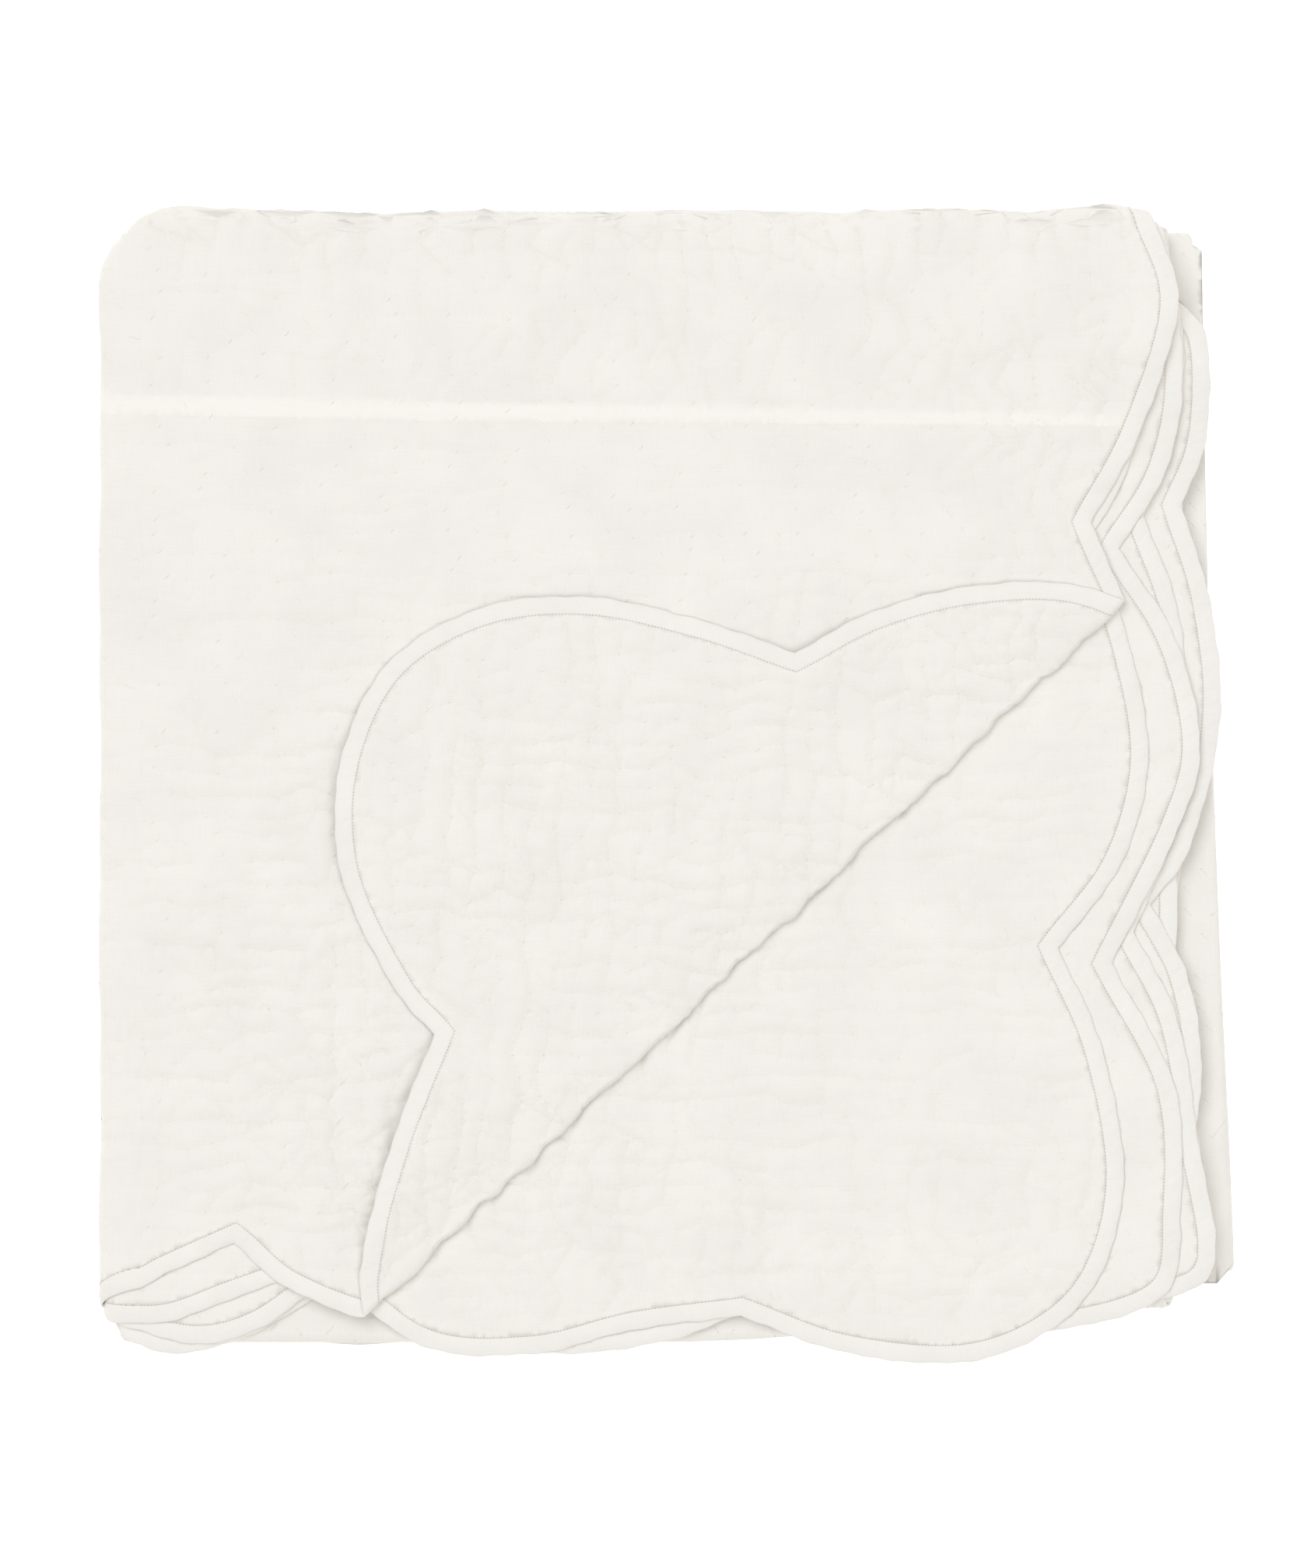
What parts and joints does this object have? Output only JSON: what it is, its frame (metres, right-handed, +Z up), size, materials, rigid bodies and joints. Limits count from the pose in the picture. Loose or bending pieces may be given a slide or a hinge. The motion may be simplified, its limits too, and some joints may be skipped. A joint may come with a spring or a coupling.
{
  "type": "quilted bedspread",
  "caption": "Quilted bedspread with a scalloped, bound edge, folded into a square pack with one corner turned back.",
  "frame": {"origin": "on the underside of the folded pack, at the middle of its plan to within a few millimetres", "axes": "+Z up through the leaves; +Y towards the rolled top fold; -X towards the rolled side fold; the corner that is turned back is at +X -Y"},
  "size_m": [0.6577, 0.666, 0.0548],
  "materials": {
    "quilted_panel": "matte hand-quilted linen and cotton, warm off-white",
    "edge_binding": "matte plain-woven cotton bias strip, off-white"
  },
  "bodies": {
    "root": {"quilted_panel": "quilted_panel", "edge_binding": "edge_binding"}
  },
  "joints": []
}
